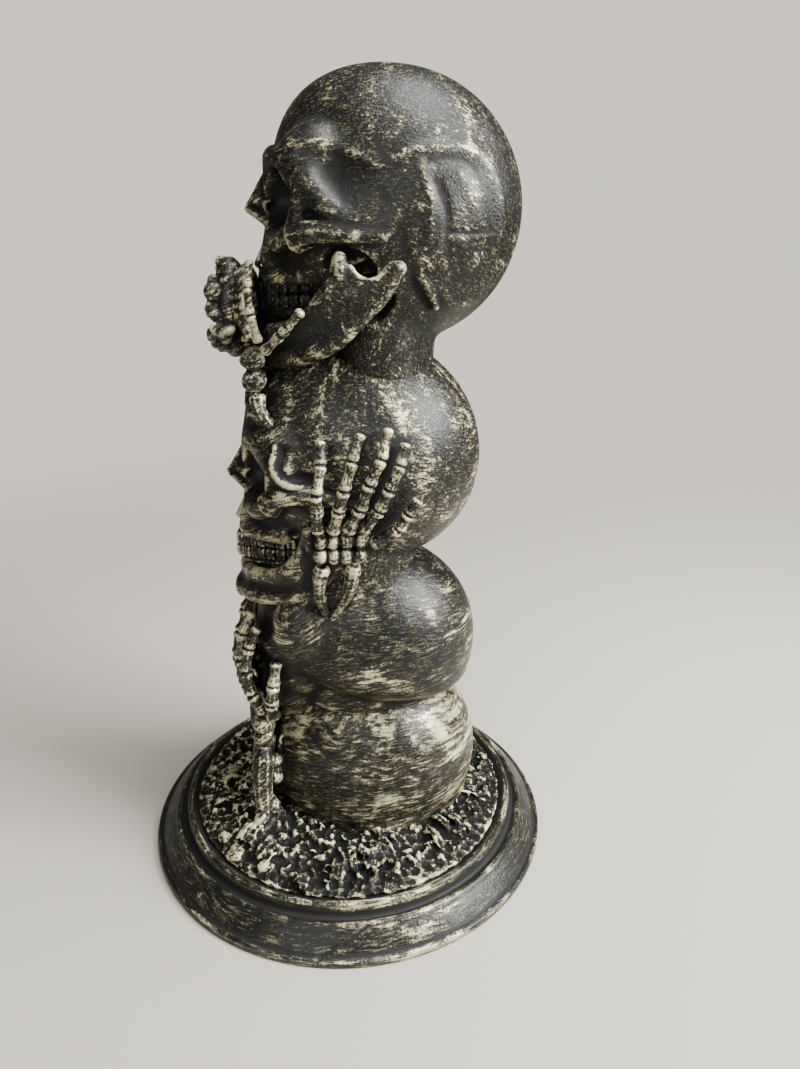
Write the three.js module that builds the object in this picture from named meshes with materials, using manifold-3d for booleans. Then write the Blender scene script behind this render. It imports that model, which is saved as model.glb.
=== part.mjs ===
// A tower of stacked skulls on a round moulded plinth: one mouth, one pair of ears and one pair of eyes
// are covered by skeleton hands, and the lowest skull is a bare vault sunk in a bed of bones.
// Millimetres, +Z up, the faces look along -Y, and the left hand of each skull is on +X.
// The origin is the centre of the plinth's underside.
import * as THREE from 'three';
import { mergeVertices } from 'three/addons/utils/BufferGeometryUtils.js';
import Module from 'manifold-3d';

const wasm = await Module();
wasm.setup();

// ---- driving dimensions ----
const GAP = 0.35;                 // clearance between neighbouring castings
const PLINTH_RADIUS = 113.5;      // at the floor
const LIP_HEIGHT = 4;             // thin rim round the foot
const SHOULDER_RADIUS = 100.5;    // ridge at the top of the sloping flange
const SHOULDER_Z = 15.2;
const RIM_RADIUS = 93.5;          // ridge round the plateau
const RIM_Z = 21.3;
const PLATEAU_Z = 18.5;
const WALL = 5;                   // plinth wall, hollow underneath
const BED_RADIUS = 89;
const BED_Z = 24.5;               // mean top of the bone bed
// Each skull's centre, its braincase's half sizes and tilt in degrees, and its neck: a line of
// centres below the skull's own, with the half sizes at both ends and the height of the
// seat. An open face shows its cheekbones, the arches behind them and the whole jawbone.
const SKULLS = {
  speak: {
    centre: [0, 27, 345], vault: [46, 57.5, 54.5], tilt: 0, openFace: true, seatZ: 276,
    neck: { line: [[0, 6, -20], [0, -3, -52], [0, -7, -74]], sizes: [[38, 42], [29, 25]] },
  },
  hear: {
    centre: [0, 10, 222], vault: [47, 61.5, 55], tilt: 0, openFace: true, seatZ: 168,
    neck: { line: [[0, 4, -14], [0, 0, -46], [0, -1, -64]], sizes: [[40, 50], [34, 32]] },
  },
  see: {
    centre: [0, 10, 116], vault: [47, 61.5, 50], tilt: -11, openFace: false, seatZ: 97,
    neck: { line: [[0, 2, -6], [0, 0, -18], [0, -3, -32]], sizes: [[41, 54], [36, 46]] },
  },
};
const SUNK = { centre: [0, 15, 42], size: [51, 61.5, 60], tilt: -8 };   // lowest braincase, cut off by the plateau
const BOXY = 0.84;                // how square the lowest one's shoulders are, 1 is an ellipse
const PEG_RADIUS = 9;             // locating peg under each neck, in a socket in the vault below
const PEG_LENGTH = 9;              // below the seat, and as much again inside the neck
const FINGER = 3.4;               // radius of a knuckle
const THUMB = 3.4;

const finish = {
  plinth: new THREE.MeshStandardMaterial({ color: 0x35352f, roughness: 0.42, metalness: 0.55 }),
  bone: new THREE.MeshStandardMaterial({ color: 0x4a483e, roughness: 0.4, metalness: 0.6 }),
  hands: new THREE.MeshStandardMaterial({ color: 0x8b8468, roughness: 0.38, metalness: 0.6 }),
  teeth: new THREE.MeshStandardMaterial({ color: 0x6f6a58, roughness: 0.38, metalness: 0.6 }),
  bed: new THREE.MeshStandardMaterial({ color: 0x2c2b26, roughness: 0.5, metalness: 0.5 }),
  pad: new THREE.MeshStandardMaterial({ color: 0x151515, roughness: 0.95, metalness: 0 }),
};

// ---- solids and booleans ----
function solid(geometry) {
  const bare = geometry.index ? geometry.toNonIndexed() : geometry.clone();
  bare.deleteAttribute('normal');
  bare.deleteAttribute('uv');
  const merged = mergeVertices(bare, 1e-3);
  return new wasm.Manifold(new wasm.Mesh({
    numProp: 3,
    vertProperties: new Float32Array(merged.attributes.position.array),
    triVerts: new Uint32Array(merged.index.array),
  }));
}

const join = (...solids) => solids.reduce((a, b) => a.add(b));
const cut = (from, ...tools) => tools.reduce((a, b) => a.subtract(b), from);

function geometryOf(body, centre) {
  const { vertProperties, triVerts, numProp } = body.getMesh();
  const positions = new Float32Array((vertProperties.length / numProp) * 3);
  for (let i = 0; i < positions.length / 3; i += 1) {
    for (let k = 0; k < 3; k += 1) positions[3 * i + k] = vertProperties[numProp * i + k] - centre[k];
  }
  const geometry = new THREE.BufferGeometry();
  geometry.setAttribute('position', new THREE.BufferAttribute(positions, 3));
  geometry.setIndex(new THREE.BufferAttribute(triVerts, 1));
  geometry.computeVertexNormals();
  return geometry;
}

// ---- shapes ----
// An egg with the given half sizes, about centre, tilted round X by pitch degrees.
function egg(centre, size, pitch = 0, around = 10, rings = 6) {
  return solid(new THREE.SphereGeometry(1, around, rings)
    .rotateX(Math.PI / 2)
    .scale(...size)
    .rotateX(THREE.MathUtils.degToRad(pitch))
    .translate(...centre));
}

// A closed tube along a smooth line through points. size(t) gives its half width across "up" and half
// height along it, at t from 0 to 1.
function sweep(points, size, { sides = 6, steps = 12, up = [0, 0, 1], tension = 0.5 } = {}) {
  const line = new THREE.CatmullRomCurve3(points.map((p) => new THREE.Vector3(...p)), false, 'catmullrom', tension);
  const reference = new THREE.Vector3(...up);
  const tube = new THREE.CylinderGeometry(1, 1, 1, sides, steps);
  const place = tube.attributes.position;
  const local = new THREE.Vector3();
  for (let i = 0; i < place.count; i += 1) {
    local.fromBufferAttribute(place, i);
    const t = THREE.MathUtils.clamp(local.y + 0.5, 0, 1);
    const forward = line.getTangentAt(t);
    const side = forward.clone().cross(reference).normalize();
    const rise = side.clone().cross(forward);
    const [wide, high] = size(t);
    const at = line.getPointAt(t).addScaledVector(side, local.x * wide).addScaledVector(rise, -local.z * high);
    place.setXYZ(i, at.x, at.y, at.z);
  }
  const made = solid(tube);
  return made.volume() < 0 ? solid(flipped(tube)) : made;
}

function flipped(geometry) {
  const index = geometry.index.array;
  for (let i = 0; i < index.length; i += 3) [index[i + 1], index[i + 2]] = [index[i + 2], index[i + 1]];
  return geometry;
}

const mirrored = (points) => points.map(([x, y, z]) => [-x, y, z]);
const moved = (points, [cx, cy, cz]) => points.map(([x, y, z]) => [x + cx, y + cy, z + cz]);
const bothSides = (make) => join(make((p) => p), make(mirrored));

// A finger: a chain of bones, thick at each joint and waisted between. points run from the wrist to the tip.
const JOINT_SIZES = [0.84, 1, 0.92, 0.84, 0.62];
const WAIST = 0.68;
function finger(points, radius, grow = 0) {
  const bones = points.length - 1;
  const size = (t) => {
    const joint = Math.round(t * bones);
    const here = radius * JOINT_SIZES[Math.min(joint, 4)];
    const between = Math.abs(t * bones - joint) > 0.25;
    return Array(2).fill((between ? here * WAIST : here) + grow);
  };
  const line = points.map((p) => new THREE.Vector3(...p));
  const longer = (end, next) => end.clone().sub(next).normalize().multiplyScalar(grow).add(end).toArray();
  const grown = [longer(line[0], line[1]), ...points.slice(1, bones), longer(line[bones], line[bones - 1])];
  return sweep(grown, size, { steps: 2 * bones, up: [0.3, 1, 0.1], tension: 0.3 });
}

// ---- plinth ----
function plinthSolid() {
  const outline = [
    [0, PLATEAU_Z - WALL], [SHOULDER_RADIUS - 2 * WALL, PLATEAU_Z - 2 * WALL],
    [PLINTH_RADIUS - 2 * WALL, LIP_HEIGHT], [PLINTH_RADIUS - 2 * WALL, 0],
    [PLINTH_RADIUS, 0], [PLINTH_RADIUS, LIP_HEIGHT - 1], [PLINTH_RADIUS - 1.5, LIP_HEIGHT],
    [PLINTH_RADIUS - 4, LIP_HEIGHT + 1.6], [PLINTH_RADIUS - 9.5, SHOULDER_Z - 3],
    [SHOULDER_RADIUS, SHOULDER_Z], [SHOULDER_RADIUS - 2.6, SHOULDER_Z - 0.8],
    [RIM_RADIUS + 2, SHOULDER_Z], [RIM_RADIUS + 1, RIM_Z - 1], [RIM_RADIUS - 0.6, RIM_Z],
    [RIM_RADIUS - 3, RIM_Z - 0.4], [BED_RADIUS + 0.3, PLATEAU_Z], [0, PLATEAU_Z],
  ].map(([r, z]) => new THREE.Vector2(r, z));
  return solid(new THREE.LatheGeometry(outline, 40).rotateX(Math.PI / 2));
}

function padSolid() {
  const radius = PLINTH_RADIUS - 2 * WALL - GAP;
  return solid(new THREE.CylinderGeometry(radius, radius, LIP_HEIGHT - 1, 40)
    .rotateX(Math.PI / 2).translate(0, 0, (LIP_HEIGHT - 1) / 2));
}

// A shallow mound with a lumpy top.
function bedSolid() {
  const rings = [0, 40, 52, 62, 72, 82].map((r) => new THREE.Vector2(r, BED_Z));
  const outline = [new THREE.Vector2(0, PLATEAU_Z + GAP), new THREE.Vector2(BED_RADIUS, PLATEAU_Z + GAP),
    new THREE.Vector2(BED_RADIUS, PLATEAU_Z + 3.4), ...rings.reverse()];
  const mound = new THREE.LatheGeometry(outline, 30).rotateX(Math.PI / 2);
  const place = mound.attributes.position;
  for (let i = 0; i < place.count; i += 1) {
    const [x, y, z] = [place.getX(i), place.getY(i), place.getZ(i)];
    const lumps = Math.sin(0.37 * x + 1.3) * Math.cos(0.31 * y) + Math.sin(0.23 * (x + y)) * 0.6;
    const slope = THREE.MathUtils.clamp((BED_RADIUS - Math.hypot(x, y)) / 34, 0, 1);
    if (z > PLATEAU_Z + 4) place.setZ(i, z + 1.3 * lumps * Math.min(1, 3 * slope) + 3.5 * slope - 1.2);
  }
  return solid(mound);
}

// ---- skulls ----
// A braincase: a unit sphere pushed out to a steep forehead, narrow temples and a full back.
function vaultSolid({ centre, vault, tilt }, grow = 0, square = 1) {
  const ball = new THREE.SphereGeometry(1, 24, 14).rotateX(Math.PI / 2);
  const place = ball.attributes.position;
  for (let i = 0; i < place.count; i += 1) {
    const [x, y, z] = [place.getX(i), place.getY(i), place.getZ(i)];
    const front = Math.max(0, -y);
    const forehead = 1 + 0.2 * front * Math.max(0, z);
    const temples = 1 - 0.16 * front;
    const ring = Math.hypot(x, y) ** (square - 1 || 1);
    const swell = square === 1 ? 1 : ring;
    const rise = square === 1 ? z : Math.sign(z) * Math.abs(z) ** square;
    place.setXYZ(i, x * swell * temples * (vault[0] + grow), y * swell * forehead * (vault[1] + grow),
      rise * (vault[2] + grow));
  }
  return solid(ball.rotateX(THREE.MathUtils.degToRad(tilt)).translate(...centre));
}

const at = (centre, [x, y, z]) => [centre[0] + x, centre[1] + y, centre[2] + z];
const eachSide = (make) => join(make(1), make(-1));

function neckSolid({ centre, neck: { line, sizes } }) {
  const size = (t) => [0, 1].map((k) => THREE.MathUtils.lerp(sizes[0][k], sizes[1][k], t ** 0.6));
  return sweep(moved(line, centre), size, { sides: 20, steps: 4, up: [0, 1, 0] });
}

function craniumSolid(skull) {
  const c = skull.centre;
  const brow = [[-31, -41, 5], [-18, -56, 11], [0, -58, 9], [18, -56, 11], [31, -41, 5]];
  const bridge = [[0, -52, 8], [0, -62, 1], [0, -66.5, -5]];
  const rim = [[30, -43, 8], [34, -41, -4], [31, -45, -18]];
  let body = vaultSolid(skull);
  if (skull.openFace) {
    body = cut(body, eachSide((s) => egg(at(c, [s * 50, -25, -13]), [13, 19, 20])));
    const arch = (side) => sweep(moved(side([[18, -55, -25], [31, -46, -20], [41, -32, -15], [45, -16, -14],
      [45, -2, -15], [38, 7, -17]]), c), (t) => [3.2 + 3 * (t < 0.3), 5.5 - 1.5 * t], { steps: 6 });
    const behindEars = eachSide((s) => egg(at(c, [s * 38, 9, -29]), [6.5, 8, 13], -15));
    body = join(body, bothSides(arch), behindEars);
  }
  body = join(
    body,
    neckSolid(skull),
    sweep(moved(brow, c), (t) => [5, 4.5 - Math.abs(t - 0.5)], { steps: 6 }),
    egg(at(c, [0, -40, -20]), [22, 19, 20], 12),
    sweep(moved(bridge, c), (t) => [4.2 - t, 4], { steps: 3 }),
    bothSides((side) => sweep(moved(side(rim), c), () => [3.5, 3.5], { steps: 4, up: [0, 1, 0] })),
  );
  const orbits = eachSide((s) => egg(at(c, [s * 17, -54, -3]), [11.5, 15, 10.5], 0, 12, 8));
  const nostril = join(egg(at(c, [0, -63, -18]), [7.2, 12, 9.5]), egg(at(c, [0, -62, -9]), [4, 9, 9], 0, 8, 6));
  return cut(body, orbits, nostril);
}

// The jawbone: a U-shaped body with a slanting branch each side, and a spur in front of each branch.
function jawSolid({ centre, openFace }, grow = 0) {
  const half = [[41, -4, -29], [39.5, -14, -40], [36, -27, -51], [29, -43, -60], [17, -56, -65]];
  const near = openFace ? half : [[29, -43, -58], [17, -56, -63]];
  const line = [...near, [0, -61, -67], ...mirrored(near).reverse()];
  const size = (t) => {
    const chin = 1 - Math.min(1, 4 * Math.abs(t - 0.5));
    return [3.6 + chin + grow, 8 + chin + grow];
  };
  const body = sweep(moved(line, centre), size, { steps: openFace ? 12 : 6 });
  if (!openFace) return body;
  const spur = (side) => sweep(moved(side([[37.5, -27, -48], [38.5, -28, -36], [39, -28, -25]]), centre),
    (t) => [2.6 + grow, 6.5 - 3 * t + grow], { steps: 3, up: [0, 1, 0] });
  return join(body, bothSides(spur));
}

// Two clenched rows of teeth round the arch of the jaw.
function teethSolid(c, grow = 0) {
  const row = (z) => {
    const arch = [-25, -13, 0, 13, 25].map((x) => [x, -64 + 0.055 * x * x, z]);
    return sweep(moved(arch, c), () => [3.2 + grow, 5.4 + grow], { steps: 8 });
  };
  return join(row(-41.5), row(-51));
}

// ---- hands ----
// Joints run from the wrist to the tip. A right hand is the mirror of a left one unless it has its own.
const HANDS = {
  hear: {
    index: [[46, -12.5, 201.5], [50, -12.5, 214], [54.5, -12.5, 223], [51, -10, 236], [46, -10, 246]],
    middle: [[47, -5.5, 201.5], [51, -2.5, 214], [52.5, 0, 224], [50, 4, 237], [46, 8, 249]],
    ring: [[47, 1.2, 201.5], [50, 7, 214], [51, 11.5, 226], [49.5, 17, 237.5], [44.5, 20.5, 251]],
    little: [[46, 8, 201.5], [48.5, 16, 213], [49.5, 20.5, 223], [47.5, 25.5, 234], [44, 28, 244]],
    thumb: [[45, 12.5, 194], [47, 25, 203], [47.5, 29.5, 210.5], [46.5, 34, 218]],
    wrist: { centre: [44.5, -2.5, 192.2], size: [5, 12.5, 8.4] },
    forearm: [[[44, -11, 182.5], [41.5, -13, 168], [34, -9.5, 150]], [[43.5, 4, 182.5], [42, 1, 168], [35, -7.5, 150]]],
  },
  see: {
    index: [[29.5, -45, 92], [31, -50.5, 104], [30, -53, 117], [27, -51, 129], [24.5, -46, 140]],
    middle: [[23, -48, 92], [23, -54, 106], [22, -56.5, 120], [19.5, -54.5, 134], [18, -49, 146]],
    ring: [[16.5, -49, 91.5], [15.5, -56, 105], [14.5, -58.5, 119], [13, -57, 132], [11.5, -52, 143]],
    little: [[10, -48, 90], [8, -56, 103], [7, -59, 113], [6.4, -58.5, 123], [6, -55.5, 132]],
    thumb: [[34, -40, 89], [38, -42, 100], [38.5, -41.5, 111], [36.5, -39, 122]],
    wrist: { centre: [21.5, -46, 80], size: [12.5, 6.5, 9.4] },
    forearm: [[[28.5, -46, 69], [35, -47.5, 50], [43, -46, 25]], [[15, -46.5, 69], [25, -48.5, 50], [39.5, -46, 25]]],
  },
  speak: {
    index: [[24, -37, 284.5], [25, -39.5, 296], [22, -41, 308], [17.5, -39, 320]],
    middle: [[17.5, -40, 284.5], [14, -45.5, 297], [5, -47, 305], [-5, -45, 310]],
    ring: [[11, -42, 284], [6.5, -47, 292], [-1, -46.5, 297.5], [-9, -43, 301.5]],
    little: [[4.5, -44, 279], [0, -47, 286], [-7, -45.5, 289.5], [-13, -42, 292]],
    thumb: [[29.5, -34, 281], [37.5, -25, 287.5], [41.5, -15, 295]],
    wrist: { centre: [17.5, -40, 272], size: [11, 6.5, 9.4] },
    forearm: [[[24, -39, 261], [26, -37.5, 253], [27.5, -31, 244]], [[11, -41.5, 261], [18, -41.5, 253], [25, -32.5, 244]]],
  },
  speakRight: {
    index: [[-24, -37, 284.5], [-21, -48, 303], [-9, -55, 314], [5, -54, 321]],
    middle: [[-17.5, -41, 284.5], [-15, -54.5, 296], [-3, -59, 304.5], [10, -56.5, 310.5]],
    ring: [[-11, -44.5, 284], [-8, -57, 289.5], [2, -60, 296], [13, -57, 300.5]],
    little: [[-3.5, -48, 277.5], [2, -57.5, 280.5], [9, -59, 286], [16.5, -56, 290]],
    thumb: [[-29.5, -34, 281], [-37.5, -25, 287.5], [-41.5, -15, 295]],
    wrist: { centre: [-17.5, -41, 272], size: [11, 6.5, 9.4] },
    forearm: [[[-24, -39, 261], [-26, -37.5, 253], [-27.5, -31, 244]], [[-11, -42, 261], [-18, -41.5, 253], [-25, -32.5, 244]]],
  },
};
const DIGITS = ['thumb', 'index', 'middle', 'ring', 'little'];

// The eight wrist bones as one lumpy block.
function wristSolid({ centre: [x, y, z], size: [a, b, c] }, grow = 0) {
  const block = new THREE.SphereGeometry(1, 8, 6);
  const place = block.attributes.position;
  for (let i = 0; i < place.count; i += 1) {
    const p = new THREE.Vector3().fromBufferAttribute(place, i);
    const boxed = (v) => Math.sign(v) * Math.abs(v) ** 0.45;
    const lumps = 1 - 0.06 * Math.abs(Math.sin(5 * p.x + 5 * p.y) * Math.cos(6 * p.z));
    place.setXYZ(i, x + boxed(p.x) * (a + grow) * 0.94 * lumps, y + boxed(p.y) * (b + grow) * 0.94 * lumps,
      z + boxed(p.z) * (c + grow) * 0.94 * lumps);
  }
  return solid(block);
}

function forearmSolid(bones, grow = 0) {
  const size = (t) => Array(2).fill(3.9 - 1.7 * Math.sin(Math.PI * Math.min(1, t * 1.2) * 0.75) + grow);
  return join(...bones.map((line) => sweep(line, size, { sides: 5, steps: 4, up: [0.3, 1, 0.1] })));
}

function mirrorHand(hand) {
  const flip = ([x, y, z]) => [-x, y, z];
  return Object.fromEntries(Object.entries(hand).map(([part, value]) => {
    if (part === 'wrist') return [part, { centre: flip(value.centre), size: value.size }];
    if (part === 'forearm') return [part, value.map((line) => line.map(flip))];
    return [part, value.map(flip)];
  }));
}

function handSolids(hand, grow = 0) {
  const solids = Object.fromEntries(DIGITS.map((digit) => [
    digit, finger(hand[digit], digit === 'thumb' ? THUMB : FINGER, grow),
  ]));
  solids.wrist = wristSolid(hand.wrist, grow);
  solids.forearm = forearmSolid(hand.forearm, grow);
  return solids;
}

// ---- assembly ----
const tower = new THREE.Group();

function addPiece(group, name, body, material) {
  const mesh = new THREE.Mesh(geometryOf(body, group.position.toArray()), material);
  mesh.name = name;
  group.add(mesh);
}

function groupAt(centre) {
  const group = new THREE.Group();
  group.position.set(...centre);
  tower.add(group);
  return group;
}

const hands = {};
for (const name of ['speak', 'hear', 'see']) {
  hands[`${name}_left`] = HANDS[name];
  hands[`${name}_right`] = HANDS[`${name}Right`] ?? mirrorHand(HANDS[name]);
}
const handRoom = join(...Object.values(hands).flatMap((hand) => Object.values(handSolids(hand, GAP))));

function sunkVault(grow = 0) {
  const floor = new THREE.BoxGeometry(300, 300, 100).translate(0, 0, PLATEAU_Z + GAP - grow - 50);
  return cut(vaultSolid({ ...SUNK, vault: SUNK.size }, grow, BOXY), solid(floor));
}

function peg({ centre, neck, seatZ }, grow = 0) {
  const height = 2 * (PEG_LENGTH + grow);
  return solid(new THREE.CylinderGeometry(PEG_RADIUS + grow, PEG_RADIUS + grow, height, 12)
    .rotateX(Math.PI / 2).translate(0, centre[1] + neck.line[2][1], seatZ));
}

const plinthGroup = groupAt([0, 0, 0]);
addPiece(plinthGroup, 'plinth', plinthSolid(), finish.plinth);
addPiece(plinthGroup, 'felt_pad', padSolid(), finish.pad);
const jaws = Object.fromEntries(Object.entries(SKULLS).map(([name, skull]) => [name, jawSolid(skull, GAP)]));
addPiece(plinthGroup, 'bone_bed', cut(bedSolid(), sunkVault(GAP), handRoom, jaws.see), finish.bed);

const stack = ['speak', 'hear', 'see'];
const vaultRoom = {
  speak: vaultSolid(SKULLS.hear, GAP),
  hear: vaultSolid(SKULLS.see, GAP),
  see: sunkVault(GAP),
};
for (const [i, name] of stack.entries()) {
  const skull = SKULLS[name];
  const group = groupAt(skull.centre);
  const teethRoom = teethSolid(skull.centre, GAP);
  const above = i ? [jaws[stack[i - 1]], peg(SKULLS[stack[i - 1]], GAP)] : [];
  const seated = cut(craniumSolid(skull), jaws[name], teethRoom, handRoom, vaultRoom[name]);
  addPiece(group, `${name}_cranium`, cut(join(seated, peg(skull)), ...above), finish.bone);
  addPiece(group, `${name}_jaw`, cut(jawSolid(skull), teethRoom, handRoom, vaultRoom[name]), finish.bone);
  addPiece(group, `${name}_teeth`, cut(teethSolid(skull.centre), handRoom, vaultRoom[name]), finish.teeth);
}
const sunkGroup = groupAt(SUNK.centre);
addPiece(sunkGroup, 'sunk_cranium', cut(sunkVault(), jaws.see, peg(SKULLS.see, GAP), handRoom), finish.bone);

for (const [name, hand] of Object.entries(hands)) {
  const group = groupAt(hand.wrist.centre);
  for (const [piece, body] of Object.entries(handSolids(hand))) {
    addPiece(group, `${name}_${piece}`, body, finish.hands);
  }
}

export default tower;
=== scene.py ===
import math
import random

import bpy
import numpy as np
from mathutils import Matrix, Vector
from mathutils.bvhtree import BVHTree


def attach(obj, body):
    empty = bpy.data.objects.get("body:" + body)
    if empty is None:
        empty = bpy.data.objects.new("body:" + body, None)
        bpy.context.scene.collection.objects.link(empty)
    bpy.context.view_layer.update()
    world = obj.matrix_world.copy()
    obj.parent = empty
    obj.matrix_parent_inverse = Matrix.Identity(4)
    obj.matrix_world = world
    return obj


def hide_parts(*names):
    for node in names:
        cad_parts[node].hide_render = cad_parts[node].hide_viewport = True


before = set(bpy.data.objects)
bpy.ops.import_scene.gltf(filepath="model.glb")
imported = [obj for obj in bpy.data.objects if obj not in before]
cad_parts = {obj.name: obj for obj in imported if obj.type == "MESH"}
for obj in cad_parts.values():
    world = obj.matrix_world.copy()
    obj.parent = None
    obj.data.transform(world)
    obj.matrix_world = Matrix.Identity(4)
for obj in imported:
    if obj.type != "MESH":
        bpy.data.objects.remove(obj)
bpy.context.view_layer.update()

mm = 0.001          # every size below is in millimetres


def pick(*pieces):
    bpy.ops.object.select_all(action="DESELECT")
    for piece in pieces:
        piece.select_set(True)
    if pieces:
        bpy.context.view_layer.objects.active = pieces[0]


def joined(pieces, name):
    pick(*pieces)
    if len(pieces) > 1:
        bpy.ops.object.join()
    pieces[0].name = name
    return pieces[0]


def finishWith(piece, kind, **values):
    pick(piece)
    modifier = piece.modifiers.new(kind.lower(), kind)
    for name, value in values.items():
        setattr(modifier, name, value)
    bpy.ops.object.modifier_apply(modifier=modifier.name)


def fuse(piece, grain):
    finishWith(piece, "REMESH", mode="VOXEL", voxel_size=grain * mm)


def soften(piece, repeats, factor=0.5):
    finishWith(piece, "SMOOTH", factor=factor, iterations=repeats)


def carve(piece, cutters):
    for cutter in cutters:
        finishWith(piece, "BOOLEAN", operation="DIFFERENCE", object=cutter, solver="EXACT")
        bpy.data.objects.remove(cutter)


def pointsOf(piece):
    points = np.empty(len(piece.data.vertices) * 3)
    piece.data.vertices.foreach_get("co", points)
    return points.reshape(-1, 3) / mm


def movePoints(piece, points):
    piece.data.vertices.foreach_set("co", (points * mm).ravel())
    piece.data.update()


def normalsOf(piece):
    normals = np.empty(len(piece.data.vertices) * 3)
    piece.data.vertex_normals.foreach_get("vector", normals)
    return normals.reshape(-1, 3)


def egg(place, half, turn=(0, 0, 0), segments=24):
    pick()
    bpy.ops.mesh.primitive_uv_sphere_add(
        segments=segments, ring_count=segments // 2, radius=1, location=[v * mm for v in place],
        rotation=[math.radians(v) for v in turn], scale=[v * mm for v in half])
    bpy.ops.object.transform_apply(location=True, rotation=True, scale=True)
    return bpy.context.object


def throughPoints(rows, perSpan=4):
    # a smooth line through rows of x, y, z and radius
    p = np.array(rows, float)
    p = np.vstack([2 * p[0] - p[1], p, 2 * p[-1] - p[-2]])
    line = []
    for a, b, c, d in zip(p, p[1:], p[2:], p[3:]):
        for t in np.arange(perSpan) / perSpan:
            line.append(0.5 * (2 * b + (c - a) * t + (2 * a - 5 * b + 4 * c - d) * t * t
                               + (3 * b - 3 * c + d - a) * t ** 3))
    return np.array(line + [p[-2]])


def strands(lines, roundness=2):
    curve = bpy.data.curves.new("strands", "CURVE")
    curve.dimensions = "3D"
    curve.bevel_depth = mm
    curve.bevel_resolution = roundness
    curve.use_fill_caps = True
    for line in lines:
        spline = curve.splines.new("POLY")
        spline.points.add(len(line) - 1)
        for point, (x, y, z, radius) in zip(spline.points, line):
            point.co = (x * mm, y * mm, z * mm, 1)
            point.radius = max(radius, 0.2)
    piece = bpy.data.objects.new("strands", curve)
    bpy.context.collection.objects.link(piece)
    pick(piece)
    bpy.ops.object.convert(target="MESH")
    return bpy.context.object


def at(centre, rows):
    # rows of x, y, z and anything else, moved to a centre
    rows = np.array(rows, float)
    rows[..., :3] += np.array(centre)
    return rows


def otherSide(rows):
    rows = np.array(rows, float)
    rows[..., 0] *= -1
    return rows


def brush(piece, centre, path, width, push):
    # raises a soft ridge, or cuts a groove, along a line drawn on both sides of a skull
    points = pointsOf(piece)
    flat = points[:, 1:] - np.array(centre[1:])
    nearest = np.full(len(points), 1e9)
    line = throughPoints([[*p, 0, 0] for p in path], 5)[:, :2]
    for a, b in zip(line, line[1:]):
        along = b - a
        t = np.clip(((flat - a) @ along) / max(along @ along, 1e-9), 0, 1)
        nearest = np.minimum(nearest, np.hypot(*(flat - a - t[:, None] * along).T))
    amount = push * np.exp(-(nearest / width) ** 2) * (np.abs(points[:, 0]) > 16)
    movePoints(piece, points + normalsOf(piece) * amount[:, None])


def markRaised(piece, fine=3, broad=20, fineGain=1.1, broadGain=0.2):
    # stores how far each point stands out of its surroundings, 0.5 where it is level
    points = pointsOf(piece)
    edges = np.empty(len(piece.data.edges) * 2, dtype=int)
    piece.data.edges.foreach_get("vertices", edges)
    a, b = edges.reshape(-1, 2).T
    count = np.bincount(np.concatenate([a, b]), minlength=len(points))[:, None] + 1
    smooth = points.copy()
    stages = []
    for step in range(1, broad + 1):
        total = smooth.copy()
        for k in range(3):
            total[:, k] += np.bincount(a, smooth[b, k], len(points))
            total[:, k] += np.bincount(b, smooth[a, k], len(points))
        smooth = total / count
        if step in (fine, broad):
            stages.append(((points - smooth) * normalsOf(piece)).sum(1))
    value = 0.5 + fineGain * stages[0] + broadGain * stages[1]
    piece.data.attributes.new("raised", "FLOAT", "POINT")
    writeRaised(piece, value)


def readRaised(piece):
    values = np.empty(len(piece.data.vertices))
    piece.data.attributes["raised"].data.foreach_get("value", values)
    return values


def writeRaised(piece, values):
    piece.data.attributes["raised"].data.foreach_set("value", np.clip(values, 0, 1))


def shadeNear(piece, others, reach=7.0, depth=0.3):
    # painted shade: the skin close under a hand is darkened, as if in the hand's shadow, by lowering its
    # raised value
    trees = []
    for other in others:
        corners = [vertex.co for vertex in other.data.vertices]
        trees.append(BVHTree.FromPolygons(corners, [polygon.vertices for polygon in other.data.polygons]))
    values = readRaised(piece)
    for number, vertex in enumerate(piece.data.vertices):
        gap = reach * mm
        for tree in trees:
            distance = tree.find_nearest(vertex.co, gap)[3]
            if distance is not None:
                gap = min(gap, distance)
        values[number] -= depth * (1 - gap / (reach * mm))
    writeRaised(piece, values)


def show(piece, material, slot, *nodes):
    # a finished piece: its paint, its smooth shading, and what it stands for
    piece.data.materials.clear()
    piece.data.materials.append(material)
    pick(piece)
    bpy.ops.object.shade_smooth()
    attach(piece, "root")
    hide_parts(*nodes)
    print("made", piece.name, len(piece.data.polygons), "faces")


paint = {
    "black": (0.004, 0.004, 0.0038, 1),
    "gold": (0.66, 0.62, 0.385, 1),
    "haze": (0.135, 0.125, 0.072, 1),
}


def addNode(tree, kind, links=None, **values):
    node = tree.nodes.new(kind)
    for name, value in values.items():
        setattr(node, name, value)
    for socket, source in (links or {}).items():
        if isinstance(source, bpy.types.NodeSocket):
            tree.links.new(source, node.inputs[socket])
        else:
            node.inputs[socket].default_value = source
    return node


def sums(tree, operation, *values):
    node = addNode(tree, "ShaderNodeMath", operation=operation)
    for socket, value in zip(node.inputs, values):
        if isinstance(value, bpy.types.NodeSocket):
            tree.links.new(value, socket)
        else:
            socket.default_value = value
    return node.outputs[0]


def newGroup(name, inputs, outputs):
    group = bpy.data.node_groups.new(name, "ShaderNodeTree")
    for label, kind, value in inputs:
        socket = group.interface.new_socket(label, in_out="INPUT", socket_type=kind)
        if value is not None:
            socket.default_value = value
    for label, kind in outputs:
        group.interface.new_socket(label, in_out="OUTPUT", socket_type=kind)
    return group, group.nodes.new("NodeGroupInput").outputs, group.nodes.new("NodeGroupOutput").inputs


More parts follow.
